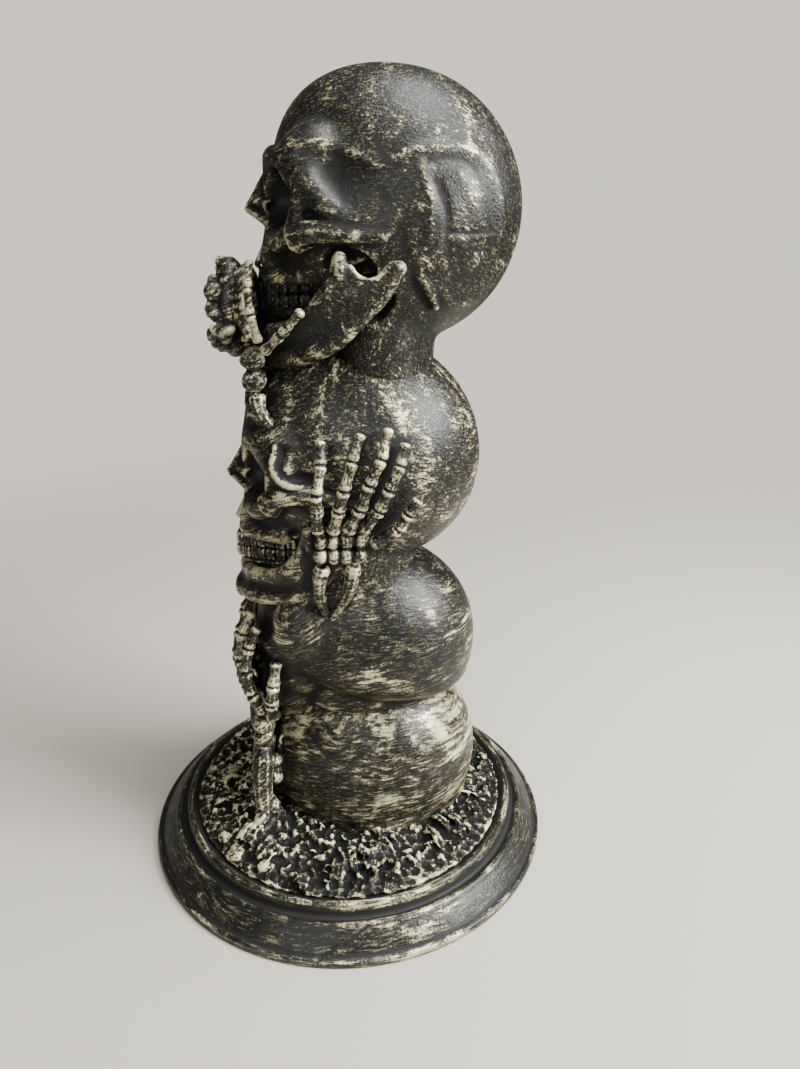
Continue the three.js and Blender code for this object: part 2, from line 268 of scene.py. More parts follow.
def noise(tree, vector, scale, detail=4, rough=0.6, lean=0.0):
    node = addNode(tree, "ShaderNodeTexNoise", {"Vector": vector, "Scale": scale, "Detail": detail,
                                               "Roughness": rough, "Distortion": lean})
    return node.outputs["Fac"]


def centred(tree, value, gain):
    # a value that is 0.5 at rest, made to swing about nothing
    return sums(tree, "MULTIPLY", sums(tree, "SUBTRACT", value, 0.5), gain)


def stretched(tree, vector, factors):
    return addNode(tree, "ShaderNodeVectorMath", {0: vector, 1: factors}, operation="MULTIPLY").outputs[0]


def ramp(tree, value, low, high, start=0.0, end=1.0, kind="SMOOTHSTEP"):
    limits = {"Value": value, "From Min": low, "From Max": high, "To Min": start, "To Max": end}
    return addNode(tree, "ShaderNodeMapRange", limits, interpolation_type=kind).outputs[0]


# the dragged paint: how far its strokes drift and slant, its finer and broader noises, and where each one
# shows
drag = {
    "drift": 22, "driftGain": 7.0, "slant": 0.6, "core": 0.004,
    "hairs": (2.1, 2.1, 2.6), "patches": (0.45, 0.45, 0.1), "specks": 800, "thin": 75,
    "strokeGain": 2.0, "hairGain": 2.6, "patchGain": 1.5, "underGround": 0.4,
    "heavyEdge": (0.03, 0.36), "lightEdge": (-0.04, 0.34), "thinEdge": (0.35, 0.62), "thinnest": 0.45,
}


def makeDryBrush():
    # pale metallic paint dragged over black: long strokes round the form, broken by patches and specks
    number = "NodeSocketFloat"
    tree, given, out = newGroup(
        "dry brush",
        [("Position", "NodeSocketVector", None), ("Raised", number, 0.5), ("Cover", number, 0.0),
         ("Stroke Length", number, 3.0), ("Stroke Fineness", number, 260.0),
         ("Speckle", number, 0.5), ("Ridge Gain", number, 1.0)],
        [("Paint", number), ("Haze", number), ("Height", number)])
    place = given["Position"]
    x, y, z = addNode(tree, "ShaderNodeSeparateXYZ", {0: place}).outputs
    squares = sums(tree, "ADD", sums(tree, "MULTIPLY", x, x), sums(tree, "MULTIPLY", y, y))
    radius = sums(tree, "MAXIMUM", sums(tree, "SQRT", squares), drag["core"])
    drift = sums(tree, "MULTIPLY", noise(tree, place, drag["drift"], 2, 0.5), drag["driftGain"])
    across = sums(tree, "ADD", z, sums(tree, "MULTIPLY", radius, drag["slant"]))
    height = sums(tree, "ADD", sums(tree, "MULTIPLY", across, given["Stroke Fineness"]), drift)
    around = addNode(tree, "ShaderNodeCombineXYZ", {
        0: sums(tree, "MULTIPLY", sums(tree, "DIVIDE", x, radius), given["Stroke Length"]),
        1: sums(tree, "MULTIPLY", sums(tree, "DIVIDE", y, radius), given["Stroke Length"]),
        2: height}).outputs[0]
    strokes = noise(tree, around, 1.0, 6, 0.72)
    hairs = noise(tree, stretched(tree, around, drag["hairs"]), 1.0, 5, 0.75)
    patches = noise(tree, stretched(tree, around, drag["patches"]), 1.0, 4, 0.62, 0.5)
    specks = noise(tree, place, drag["specks"], 3, 0.75)
    ridge = sums(tree, "ADD", centred(tree, given["Raised"], given["Ridge Gain"]), given["Cover"])
    ground = sums(tree, "ADD", centred(tree, patches, drag["patchGain"]), ridge)
    grain = centred(tree, specks, given["Speckle"])
    heavy = sums(tree, "ADD", sums(tree, "ADD", centred(tree, strokes, drag["strokeGain"]), ground), grain)
    under = sums(tree, "MULTIPLY", ground, drag["underGround"])
    light = sums(tree, "ADD", sums(tree, "ADD", centred(tree, hairs, drag["hairGain"]), under), grain)
    thinness = ramp(tree, noise(tree, place, drag["thin"], 3, 0.6), *drag["thinEdge"], drag["thinnest"],
                    1.0, "LINEAR")
    tree.links.new(sums(tree, "MULTIPLY", ramp(tree, heavy, *drag["heavyEdge"]), thinness), out["Paint"])
    tree.links.new(ramp(tree, light, *drag["lightEdge"]), out["Haze"])
    build = sums(tree, "ADD", sums(tree, "MULTIPLY", strokes, 0.6), sums(tree, "MULTIPLY", specks, 0.4))
    tree.links.new(build, out["Height"])
    return tree


def makeGrimeAndShade():
    # matt black left in the hollows, together with painted shade that darkens the same hollows and creases
    tree, given, out = newGroup(
        "grimeAndShade",
        [("Position", "NodeSocketVector", None), ("Raised", "NodeSocketFloat", 0.5),
         ("Depth", "NodeSocketFloat", 0.5)],
        [("Grime And Shade", "NodeSocketFloat")])
    ragged = centred(tree, noise(tree, given["Position"], 240, 3, 0.6), 0.14)
    level = sums(tree, "ADD", given["Raised"], ragged)
    tree.links.new(ramp(tree, level, given["Depth"], 0.5, 1.0, 0.0), out["Grime And Shade"])
    return tree


def makeCastSkin():
    # the faint pits and waves of a painted casting
    tree, given, out = newGroup(
        "cast skin", [("Position", "NodeSocketVector", None), ("Strokes", "NodeSocketFloat", 0.5)],
        [("Height", "NodeSocketFloat")])
    waves = sums(tree, "MULTIPLY", noise(tree, given["Position"], 130, 3, 0.5), 0.5)
    pits = sums(tree, "MULTIPLY", noise(tree, given["Position"], 900, 2, 0.6), 0.28)
    paintBuild = sums(tree, "MULTIPLY", given["Strokes"], 0.5)
    tree.links.new(sums(tree, "ADD", sums(tree, "ADD", waves, pits), paintBuild), out["Height"])
    return tree


dryBrush = makeDryBrush()
grimeAndShade = makeGrimeAndShade()
castSkin = makeCastSkin()
print("mixed the paint groups")


def placed(tree, kind, values):
    # a group in a material, with its sockets linked or set
    node = addNode(tree, "ShaderNodeGroup", node_tree=kind)
    for socket, value in values.items():
        if isinstance(value, bpy.types.NodeSocket):
            tree.links.new(value, node.inputs[socket])
        else:
            node.inputs[socket].default_value = value
    return node.outputs


def antiqued(name, centre=(0, 0, 0), turn=(0, 0, 0), cover=0.0, strokeLength=9, fineness=500, speckle=0.5,
             ridge=1.6, hollow=0.36, shine=0.26, dull=0.3):
    material = bpy.data.materials.new(name)
    material.use_nodes = True
    tree = material.node_tree
    skin = tree.nodes["Principled BSDF"]
    place = addNode(tree, "ShaderNodeTexCoord").outputs["Object"]
    place = addNode(tree, "ShaderNodeMapping", {"Vector": place,
                                                "Location": [-v * mm for v in centre]}).outputs[0]
    place = addNode(tree, "ShaderNodeMapping", {
        "Vector": place, "Rotation": [math.radians(v) for v in turn]}).outputs[0]
    raised = addNode(tree, "ShaderNodeAttribute", attribute_name="raised").outputs["Fac"]
    stroke = placed(tree, dryBrush, {
        "Position": place, "Raised": raised, "Cover": cover, "Stroke Length": strokeLength,
        "Stroke Fineness": fineness, "Speckle": speckle, "Ridge Gain": ridge})
    dirtAndShade = placed(tree, grimeAndShade, {"Position": place, "Raised": raised, "Depth": hollow})["Grime And Shade"]
    bumps = placed(tree, castSkin, {"Position": place, "Strokes": stroke["Height"]})["Height"]
    # hollows lose their gold and haze: black paint left there, and painted shade darkening them as well
    cleanAndUnshaded = sums(tree, "SUBTRACT", 1.0, dirtAndShade)
    covered = sums(tree, "MULTIPLY", stroke["Paint"], cleanAndUnshaded)
    hazed = sums(tree, "MULTIPLY", sums(tree, "MULTIPLY", stroke["Haze"], cleanAndUnshaded), 0.72)
    # sockets 6 and 7 of a Mix node are its two colours
    under = addNode(tree, "ShaderNodeMix", {0: hazed, 6: paint["black"], 7: paint["haze"]}, data_type="RGBA")
    top = addNode(tree, "ShaderNodeMix", {0: covered, 6: under.outputs[2], 7: paint["gold"]},
                  data_type="RGBA")
    tree.links.new(top.outputs[2], skin.inputs["Base Color"])
    tree.links.new(sums(tree, "MULTIPLY", covered, 0.45), skin.inputs["Metallic"])
    rough = sums(tree, "ADD", dull, sums(tree, "MULTIPLY", dirtAndShade, 0.35))
    rough = sums(tree, "ADD", rough, sums(tree, "MULTIPLY", noise(tree, place, 70, 3, 0.6), 0.12))
    tree.links.new(rough, skin.inputs["Roughness"])
    bump = addNode(tree, "ShaderNodeBump", {"Height": bumps, "Strength": 0.9, "Distance": 0.0008})
    tree.links.new(bump.outputs[0], skin.inputs["Normal"])
    skin.inputs["Specular IOR Level"].default_value = shine
    skin.inputs["Coat Weight"].default_value = 0.04
    skin.inputs["Coat Roughness"].default_value = 0.2
    return material


# where each skull sits, its braincase (half sizes, middle, tilt, how much of it lies below its middle)
# and its neck
skulls = {
    "speak": {"centre": (0, 27, 345), "vault": (46, 58.4, 58.2), "middle": (0, 25.4, 339.5), "tilt": -22.9,
              "below": 1.0, "neck": [(0, 2, -30, 34, 33, 24)], "funnel": ((0, -8, -58), 33, 31, 44, 0.82)},
    "hear": {"centre": (0, 10, 222), "vault": (47, 60.4, 60), "middle": (0, 9, 225.5), "tilt": -17.6,
             "below": 0.92, "neck": [(0, 2, -24, 36, 40, 24)], "funnel": ((0, -2, -42), 33, 31, 36, 0.95)},
    "see": {"centre": (0, 10, 116), "vault": (47, 60.5, 61), "middle": (0, 9.5, 118), "tilt": -15,
            "below": 0.36, "square": 0.92, "neck": [], "funnel": ((0, 2, -12), 38, 33, 32, 1.22)},
}
sunk = {"middle": (0, 13.5, 42), "vault": (50, 58.5, 60), "tilt": -13, "square": 0.84, "floor": 19.2}


def makeVault(half, middle, tilt, square=1.0, below=1.0):
    piece = egg((0, 0, 0), (1000, 1000, 1000), segments=72)
    x, y, z = (pointsOf(piece) * mm).T
    front = np.maximum(0, -y)
    forehead = 1 + 0.2 * front * np.maximum(0, z)
    temples = 1 - 0.16 * front
    swell = np.maximum(np.hypot(x, y), 1e-6) ** (square - 1)
    rise = np.sign(z) * np.abs(z) ** square * np.where(z < 0, below, 1)
    c, s = math.cos(math.radians(tilt)), math.sin(math.radians(tilt))
    y, z = y * swell * forehead * half[1], rise * half[2]
    shape = np.stack([x * swell * temples * half[0], y * c - z * s, y * s + z * c], 1)
    movePoints(piece, shape + np.array(middle))
    return piece


def bothSides(c, rows):
    return [throughPoints(at(c, rows)), throughPoints(at(c, otherSide(rows)))]


def sheet(first, last, count):
    # lines spread evenly between two lines
    first, last = np.array(first, float), np.array(last, float)
    return [first + (last - first) * t for t in np.linspace(0, 1, count)]


def makeFunnel(c, place, top, bottom, tall, long):
    pick()
    bpy.ops.mesh.primitive_cone_add(vertices=48, radius1=bottom * mm, radius2=top * mm, depth=tall * mm,
                                    location=[(a + b) * mm for a, b in zip(c, place)], scale=(1, long, 1))
    bpy.ops.object.transform_apply(location=True, rotation=True, scale=True)
    return bpy.context.object


def lump(c, spec, side=1):
    # one egg of a skull, from its place, half sizes and turn, mirrored where side is -1
    (x, y, z), half, *turn = spec
    turnX, turnY, turnZ = turn[0] if turn else (0, 0, 0)
    return egg((c[0] + x * side, c[1] + y, c[2] + z), half, (turnX, turnY * side, turnZ * side))


# the raised lines of a face: x, y, z from the skull's centre, and radius
face = {
    "brow": [[-33, -43.5, 11, 4], [-27, -49, 15, 4.4], [-17, -54, 16, 4.8], [-7, -55.5, 13, 4.6],
             [0, -55, 11, 4.6], [7, -55.5, 13, 4.6], [17, -54, 16, 4.8], [27, -49, 15, 4.4],
             [33, -43.5, 11, 4]],
    "outerRim": [[33, -43.5, 11, 4], [34.5, -43.5, 4, 3.8], [34, -44, -5, 4], [31, -46, -14, 5]],
    "lowerRim": [[31, -46, -14, 5], [24, -52, -18, 5], [15, -55.5, -17, 4.4], [10, -57, -11, 3.6]],
    "noseWall": [[5, -57, 9, 3.6], [8, -57, 0, 3.2], [10.5, -56.5, -10, 3.4], [12, -57.5, -19, 4],
                 [10, -60, -28, 4.4]],
    "nose": [[0, -55, 10, 4.2], [0, -59, 5, 3.6], [0, -63.5, -1, 2.9], [0, -68.6, -5.6, 1.3]],
    "noseTip": [[0, -66.5, -5, 1.9], [0, -63.5, -4.5, 3], [0, -60, -4, 3.4], [0, -56, -2, 3.6]],
    "noseSide": [[0, -64, -1.5, 2.6], [4, -61, -2.5, 2.6], [8, -57, -4, 3]],
    "noseEdge": [[0, -67.5, -5.5, 1.6], [4, -63.5, -7.5, 1.8], [8.5, -58, -10.5, 2.4]],
    "noseSpine": [[0, -57, -6, 1.2], [0, -59, -16, 1.2], [0, -64, -27.5, 1.8], [0, -66, -29, 1]],
    "gums": [[0, -61, -34, 5], [9, -58, -33.5, 5], [17, -48, -32.5, 5.5], [24, -36, -31, 6]],
    "temple": [[33, -42, 13, 5], [35.5, -36, 3, 6], [37, -30, -5, 6], [38.5, -22, -9, 5.5],
               [40, -10, -10, 5]],
    "underArch": [[30, -24, -27, 1.6], [36, -16, -23, 1.8], [40, -7, -20, 1.6]],
    "behindEar": [[37, 3, -24, 3], [38.5, 6, -29, 3.6], [37, 11, -37, 3], [33, 15, -45, 1.6]],
}
archLines = {
    "speak": [[31, -46, -16, 7], [35, -40, -14, 6.4], [38.5, -30, -13.5, 5.2], [41, -18, -14.5, 4],
              [42.6, -8, -14.5, 3.2], [42.8, -2, -11, 2.6]],
    "hear": [[31, -46, -13, 7], [35.5, -40, -7, 6], [39, -30, -5.5, 5.2], [42, -18, -6.5, 4.4],
             [44, -6, -9, 3.6], [43.5, 2, -12, 3]],
}
# eggs added to a skull and cut out of it: place from the centre, half sizes, and turn in degrees
faceLumps = {
    "cheeks": ((0, -33, -2), (34, 21, 22)), "muzzle": ((0, -38, -20), (26, 19, 18)),
    "browSide": ((22, -34, 13), (15, 19, 17), (0, 0, 14)),
    "forehead": ((24, -29, 22), (17, 20, 26), (0, 0, 12)),
}
faceCuts = {
    "eye": ((19, -57, -1), (12, 20, 12), (8, 0, 12)), "hiddenEye": ((14, -62, 2), (8, 10, 9)),
    "underArch": ((40, -27, -29), (10, 16, 10)), "behindCheek": ((36, -18, -42), (9, 15, 13)),
    "nose": ((0, -66, -18), (8.6, 13, 9.5)), "noseTop": ((0, -65, -10), (5, 10, 6)),
}


def makeCranium(name):
    plan = skulls[name]
    c = plan["centre"]
    bare = name == "see"      # the hands hide this face
    mass = [makeVault(plan["vault"], plan["middle"], plan["tilt"], plan.get("square", 1.0), plan["below"]),
            makeFunnel(c, *plan["funnel"]), lump(c, faceLumps["cheeks"]), lump(c, faceLumps["muzzle"])]
    mass += [lump(c, (neck[:3], neck[3:])) for neck in plan["neck"]]
    lines = [throughPoints(at(c, face["brow"]))]
    for part in ("noseWall",) if bare else ("outerRim", "lowerRim", "noseWall", "gums", "temple"):
        lines += bothSides(c, face[part])
    for side in (1, -1):
        for part in ("browSide", "forehead") if bare else ("browSide",):
            mass.append(lump(c, faceLumps[part], side))
    mass.append(strands(lines))
    body = joined(mass, name + "Cranium")
    fuse(body, 1.6)
    soften(body, 14)
    cutters = []
    for side in (1, -1):
        for part in ("hiddenEye",) if bare else ("eye", "underArch", "behindCheek"):
            cutters.append(lump(c, faceCuts[part], side))
    carve(body, cutters + [lump(c, faceCuts["nose"]), lump(c, faceCuts["noseTop"])])
    fuse(body, 1.15)
    soften(body, 4)
    lines = bothSides(c, face["noseSide"]) + bothSides(c, face["noseEdge"])
    lines += [throughPoints(at(c, face[part])) for part in ("nose", "noseTip", "noseSpine")]
    extra = [strands(lines)]
    if not bare:
        lines = bothSides(c, archLines[name]) + bothSides(c, face["underArch"])
        if name == "speak":
            lines += bothSides(c, face["behindEar"])
        extra.append(strands(lines))
    body = joined([body] + extra, name + "Cranium")
    fuse(body, 0.9)
    soften(body, 3)
    return body


# soft relief on the sides of the open skulls: path, width and push, with a push below nothing for a groove
reliefs = {"hear": [
    ([(-38, 15), (-39, 8), (-35, 4), (-24, 3.5)], 3.0, -2.0),
    ([(-41, 17), (-43, 8), (-39, 1), (-32, -0.5), (-22, -1)], 1.4, 1.0),
], "speak": [
    ([(-6, 13), (0, 4), (1, -7), (0, -18), (4, -30), (11, -39)], 5.0, -0.9),
    ([(4, -15), (8, -27), (14, -37)], 4.0, 0.4),
    ([(-46, 20), (-34, 20), (-21, 17), (-11, 12), (-4, 15), (4, 17.5), (16, 19), (26, 18), (35, 12), (41, 0),
      (43, -14)], 2.6, 0.7),
    ([(-40, 15), (-27, 9), (-17, 4), (-8, -1)], 8.0, -1.9),
    ([(10, 14), (18, 15), (27, 12), (34, 3), (38, -10), (37, -24), (30, -33), (22, -30), (18, -18), (17, -5),
      (13, 6)], 2.2, -0.55),
    ([(14, -33), (24, -43), (37, -39), (46, -27)], 3.0, 0.8),
    ([(28, 20), (38, 13), (46, 0), (48, -14)], 3.4, 0.7),
    ([(23, 8), (29, 0), (32, -10)], 3.5, 0.5),
    ([(19, -13), (28, -13.5), (37, -13)], 0.9, -0.4),
    ([(22, -19), (25, -28), (31, -31), (34, -25)], 1.4, -0.45),
    ([(6, 12), (9, 4), (11, -5), (10.5, -15)], 1.8, 0.5),
]}


# the lower and upper edges of each jaw, from its hinge to the chin, and what is added to it and cut from it
jawLines = {
    "speak": {
        "low": [[39.5, -4, -29, 4.2], [39, -9, -38, 4.4], [38, -18, -47, 4.4], [35.5, -29, -58, 4.6],
                [29, -43, -65, 5], [16, -57, -69, 5.2], [0, -63, -70, 5.4]],
        "high": [[39, -27, -25, 3.8], [38.5, -29, -31, 3.8], [38, -32, -37, 4], [35, -39, -46, 4],
                 [28, -48, -53, 4.2], [15, -58, -57, 4.2], [0, -62, -58, 4.2]]},
    "hear": {
        "low": [[40, -4, -25, 4], [39.5, -10, -36, 4.2], [38, -18, -46, 4.2], [35, -29, -57, 4.4],
                [28, -44, -62, 5], [16, -57, -66, 5.4], [0, -63.5, -67, 5.6]],
        "high": [[39, -27, -22, 3.4], [38.5, -29, -31, 3.6], [37, -34, -40, 3.8], [33, -41, -47, 3.6],
                 [26, -48, -51, 3.4], [14, -58, -54, 3.4], [0, -62.5, -54, 3.4]]},
    "see": {
        "low": [[19, -47, -57, 4], [12, -53, -61, 5], [0, -56.5, -63, 6]],
        "high": [[18, -46, -51, 3.6], [11, -52, -54, 4], [0, -56, -56, 4.4]]},
}
jawParts = {
    "chin": ((0, -64, -68), (11, 5, 6.5)), "hinge": ((40, -3.5, -27), (4.6, 5.5, 4.4)),
    "notch": ((39, -15, -24.5), (7, 7, 7.5), (20, 0, 0)),
    "frontHorn": [[39.5, -25, -37, 2], [40, -26.5, -31, 3.4], [40, -27, -24.5, 3.6], [39.5, -26, -21, 2]],
    "rows": 9, "hollow": 0.34,
}


def makeJaw(name):
    c = skulls[name]["centre"]
    low, high = jawLines[name]["low"], jawLines[name]["high"]
    whole = name != "see"      # the hands hide all but the front of the third jaw
    rows = sheet(low, high, jawParts["rows"] if whole else 3)
    lines = []
    for number, row in enumerate(rows):
        if whole:
            row[3:, 3] *= 1 - jawParts["hollow"] * math.sin(math.pi * number / (jawParts["rows"] - 1))
        lines += bothSides(c, row)
    body = strands(lines)
    if whole:
        hinges = [lump(c, jawParts["hinge"], side) for side in (1, -1)]
        body = joined([body, lump(c, jawParts["chin"])] + hinges, name + "Jaw")
        fuse(body, 1.2)
        soften(body, 3)
        carve(body, [lump(c, jawParts["notch"], side) for side in (1, -1)])
        body = joined([body, strands(bothSides(c, jawParts["frontHorn"]))], name + "Jaw")
    body.name = name + "Jaw"
    fuse(body, 0.9)
    soften(body, 5)
    return body


# a tooth's half sizes, its widths from the front of the row to the back, and the rows: front and back
# height, and which way up
tooth = {
    "half": (1.95, 2.2, 3.3), "widths": (1.1, 0.95, 1.0, 1.05, 1.1, 1.25, 1.3, 1.2), "hiddenCount": 4,
    "rows": ((-40.8, -35.2, 1), (-47.2, -41.6, -1)), "front": -64.2, "bend": 0.052, "jitter": 5,
    "gumLevels": ((-36.5, 3.4), (-40.5, 2.4), (-47.5, 2.4), (-52, 3.2)), "gumFront": -60.6, "gumRise": 5.6,
    "gumReach": 28, "hiddenReach": 13, "deep": 24,
}


def makeTeeth(name):
    c = skulls[name]["centre"]
    pick()
    bpy.ops.mesh.primitive_cube_add(size=2)
    model = bpy.context.object
    bpy.ops.object.mode_set(mode="EDIT")
    bpy.ops.mesh.subdivide(number_cuts=2)
    bpy.ops.object.mode_set(mode="OBJECT")
    block = pointsOf(model) * mm
    block[:, :2] *= (1 - 0.16 * np.clip(block[:, 2], 0, 1) - 0.05 * np.clip(-block[:, 2], 0, 1))[:, None]
    movePoints(model, block / mm)
    finishWith(model, "SUBSURF", levels=2, render_levels=2)
    base = pointsOf(model) * mm * np.array(tooth["half"])
    base /= np.abs(pointsOf(model) * mm).max(0)
    faces = [tuple(polygon.vertices) for polygon in model.data.polygons]
    bpy.data.objects.remove(model)
    points, allFaces = [], []
    seeds = random.Random(name)
    hidden = name == "see"
    widths = tooth["widths"][:tooth["hiddenCount"]] if hidden else tooth["widths"]
    for front, back, upright in tooth["rows"]:
        for side in (1, -1):
            reach = tooth["half"][0] + 0.1
            for number, wide in enumerate(widths):
                row = front + (back - front) * min(1, reach / tooth["deep"])
                slope = math.atan(2 * tooth["bend"] * reach)
                turned = base * np.array([wide, 1.0 + 0.25 * (number > 3), 1.0 - 0.03 * number])
                turned = turned * (1, 1, upright)
                angle = slope + math.radians(seeds.uniform(-tooth["jitter"], tooth["jitter"]))
                c1, s1 = math.cos(angle), math.sin(angle)
                placedTooth = np.stack([turned[:, 0] * c1 - turned[:, 1] * s1,
                                        turned[:, 0] * s1 + turned[:, 1] * c1, turned[:, 2]], 1)
                placedTooth += (reach, tooth["front"] + tooth["bend"] * reach * reach,
                                row + seeds.uniform(-0.5, 0.5))
                placedTooth[:, 0] *= side
                start = len(points) * len(base)
                flip = (side * upright) < 0
                for corners in faces:
                    allFaces.append(tuple(start + v for v in (corners[::-1] if flip else corners)))
                points.append(placedTooth + np.array(c))
                reach += 2.25 * tooth["half"][0] * wide * math.cos(slope)
    gum = []
    for z, radius in tooth["gumLevels"]:
        rows = []
        for x in np.linspace(-1, 1, 7) * tooth["hiddenReach" if hidden else "gumReach"]:
            rise = tooth["gumRise"] * min(1, abs(x) / tooth["deep"])
            rows.append([x, tooth["gumFront"] + tooth["bend"] * x * x, z + rise, radius])
        gum.append(throughPoints(at(c, rows)))
    mesh = bpy.data.meshes.new(name + "Teeth")
    mesh.from_pydata((np.concatenate(points) * mm).tolist(), [], allFaces)
    crowns = bpy.data.objects.new(name + "Teeth", mesh)
    bpy.context.collection.objects.link(crowns)
    piece = joined([crowns, strands(gum)], name + "Teeth")
    fuse(piece, 0.5)
    soften(piece, 1)
    return piece


# joints from the wrist to the tip, the same as the solids'
hands = {
    "hearLeft": {
        "thick": 1.12, "lift": (3.2, 0, 0),
        "index": [(46, -12.5, 201.5), (50, -12.5, 214), (54.5, -12.5, 223), (51, -10, 236), (46, -10, 246)],
        "middle": [(47, -5.5, 201.5), (51, -2.5, 214), (52.5, 0, 224), (50, 4, 237), (46, 8, 249)],
        "ring": [(47, 1.2, 201.5), (50, 7, 214), (51, 11.5, 226), (49.5, 17, 237.5), (44.5, 20.5, 251)],
        "little": [(46, 8, 201.5), (48.5, 16, 213), (49.5, 20.5, 223), (47.5, 25.5, 234), (44, 28, 244)],
        "thumb": [(45, 12.5, 194), (47, 25, 203), (47.5, 29.5, 210.5), (46.5, 34, 218)],
        "wrist": ((44.5, -2.5, 192.2), (5, 12.5, 8.4)), "across": 1,
        "forearm": [[(44, -11, 182.5), (41.5, -13, 168), (34, -9.5, 150)],
                    [(43.5, 4, 182.5), (42, 1, 168), (35, -7.5, 150)]]},
    "seeLeft": {
        "thick": 1.3, "arm": 1.5,
        "lumps": [[(21, -44, 70), (28, -46, 50), (38, -47, 34), (45, -48, 24)], 22, 7.5],
        "index": [(29.5, -45, 92), (31, -50.5, 104), (30, -53, 117), (27, -51, 129), (24.5, -46, 140)],
        "middle": [(23, -48, 92), (23, -54, 106), (22, -56.5, 120), (19.5, -54.5, 134), (18, -49, 146)],
        "ring": [(16.5, -49, 91.5), (15.5, -56, 105), (14.5, -58.5, 119), (13, -57, 132), (11.5, -52, 143)],
        "little": [(10, -48, 90), (8, -56, 103), (7, -59, 113), (6.4, -58.5, 123), (6, -55.5, 132)],
        "thumb": [(32, -40, 90), (36, -40, 101), (36.5, -38.5, 112), (34.5, -36.5, 125)],
        "wrist": ((21.5, -46, 80), (12.5, 6.5, 9.4)), "across": 0,
        "forearm": [[(28.5, -46, 69), (35, -47.5, 50), (43, -46, 25)],
                    [(15, -46.5, 69), (25, -48.5, 50), (39.5, -46, 25)]]},
    "speakLeft": {
        "thick": 1.2, "slim": {"index": 0.66, "thumb": 0.7}, "backing": ((0, -43, 299), (19, 7, 18)),
        "index": [(26, -36.5, 284.5), (27.5, -39.5, 297), (27, -40, 308.5), (25, -38.5, 320)],
        "middle": [(17.5, -40, 284.5), (14, -45.5, 297), (5, -47, 305), (-5, -45, 310)],
        "ring": [(11, -42, 284), (6.5, -47, 292), (-1, -46.5, 297.5), (-9, -43, 301.5)],
        "little": [(4.5, -44, 279), (0, -47, 286), (-7, -45.5, 289.5), (-13, -42, 292)],
        "thumb": [(29, -34.5, 281), (36.5, -26, 289.5), (40, -16, 300.5)],
        "wrist": ((17.5, -40, 272), (11, 6.5, 9.4)), "across": 0,
        "forearm": [[(24, -39, 261), (26, -37.5, 253), (27.5, -31, 244)],
                    [(11, -41.5, 261), (18, -41.5, 253), (25, -32.5, 244)]]},
    "speakRight": {
        "thick": 1.25, "backing": ((1, -50, 297), (14, 9, 23)),
        "lumps": [[(4, -52, 316), (10, -55, 302), (12, -54, 288), (4, -49, 275)], 9, 6.5],
        "index": [(-24, -37, 284.5), (-21, -48, 303), (-9, -55, 313), (5, -53, 318)],
        "middle": [(-17.5, -41, 284.5), (-15, -54.5, 296), (-3, -59, 304.5), (10, -56.5, 310.5)],
        "ring": [(-11, -44.5, 284), (-8, -57, 289.5), (2, -60, 296), (13, -57, 300.5)],
        "little": [(-3.5, -48, 277.5), (2, -57.5, 280.5), (9, -59, 286), (16.5, -56, 290)],
        "thumb": [(-29, -34.5, 281), (-36.5, -26, 289.5), (-40, -16, 300.5)],
        "wrist": ((-17.5, -41, 272), (11, 6.5, 9.4)), "across": 0,
        "forearm": [[(-24, -39, 261), (-26, -37.5, 253), (-27.5, -31, 244)],
                    [(-11, -42, 261), (-18, -41.5, 253), (-25, -32.5, 244)]]},
}
fingers = ("thumb", "index", "middle", "ring", "little")
# along a finger bone: how far, and how thick; and the thickness of the bones from the wrist to the tip
boneShape = [(0.02, 0.62), (0.07, 0.93), (0.16, 1.0), (0.3, 0.82), (0.5, 0.73), (0.7, 0.77), (0.85, 0.93),
             (0.93, 0.92), (0.99, 0.55)]
boneSizes = [3.3, 3.1, 2.8, 2.5]


def flipped(place):
    return (-place[0], place[1], place[2])


def mirroredHand(hand):
    made = {finger: [flipped(place) for place in hand[finger]] for finger in fingers}
    made["wrist"] = (flipped(hand["wrist"][0]), hand["wrist"][1])
    made["forearm"] = [[flipped(place) for place in line] for line in hand["forearm"]]
    made.update({key: hand[key] for key in ("across", "thick", "arm") if key in hand})
    made["lift"] = flipped(hand.get("lift", (0, 0, 0)))
    if "lumps" in hand:
        made["lumps"] = [[flipped(place) for place in hand["lumps"][0]], *hand["lumps"][1:]]
    return made


def bone(start, end, size):
    start, end = np.array(start, float), np.array(end, float)
    return np.array([[*(start + (end - start) * t), r * size] for t, r in boneShape])


